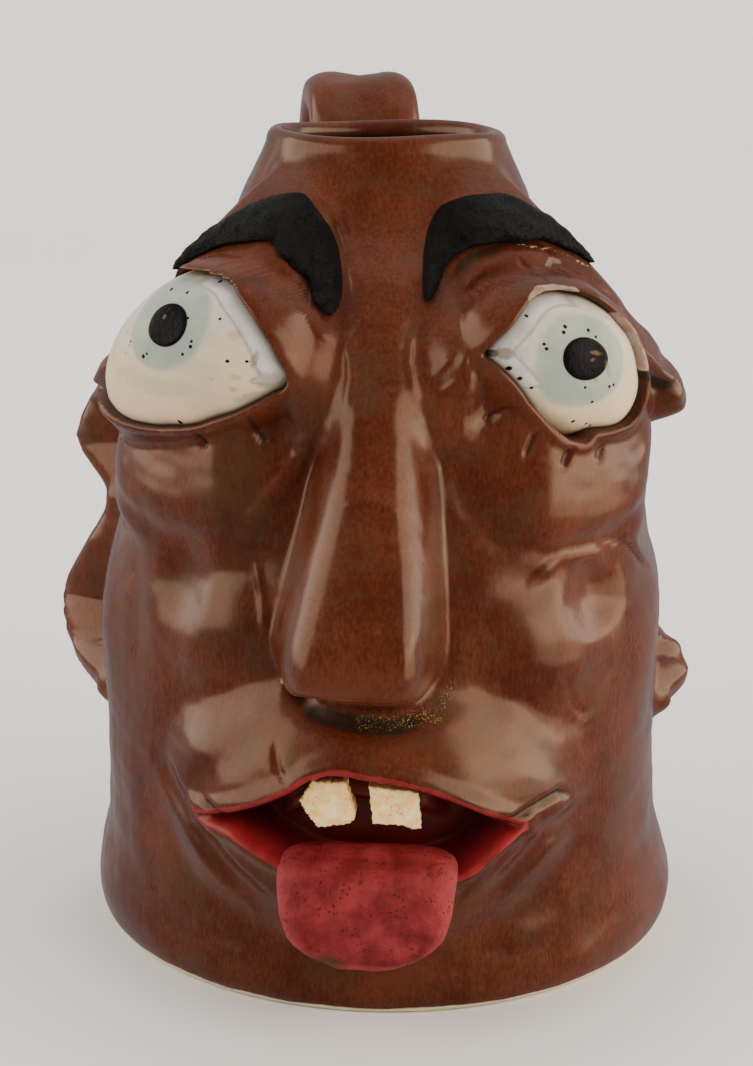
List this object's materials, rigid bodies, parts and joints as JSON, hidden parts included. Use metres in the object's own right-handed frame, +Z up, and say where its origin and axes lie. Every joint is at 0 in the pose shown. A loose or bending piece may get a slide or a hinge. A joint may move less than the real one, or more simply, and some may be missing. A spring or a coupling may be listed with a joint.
{
  "type": "face jug",
  "caption": "Hand-built glazed pottery jug with a comic face, bulging eyes, long nose, stuck-out tongue and a strap handle at the back.",
  "frame": {"origin": "middle of the flat underside, on the jug's axis", "axes": "+Z up along the jug's axis to the rim and handle, the face looks along -Y, +X to the right as seen from the front"},
  "size_m": [0.1587, 0.1776, 0.1997],
  "materials": {
    "brown_glaze": "glossy reddish-brown glaze, streaky, bare cream clay at the foot",
    "white_glaze": "glossy ivory with pale blue-green iris and black pupil",
    "black_clay": "rough black, half matte",
    "red_clay": "matte red underglaze, pitted",
    "ivory_clay": "matte ivory, stained"
  },
  "bodies": {
    "root": {"jug_body": "brown_glaze", "eyeball_left": "white_glaze", "eyeball_right": "white_glaze", "eyebrow_left": "black_clay", "eyebrow_right": "black_clay", "tongue": "red_clay", "tooth_left": "ivory_clay", "tooth_right": "ivory_clay"}
  },
  "joints": []
}
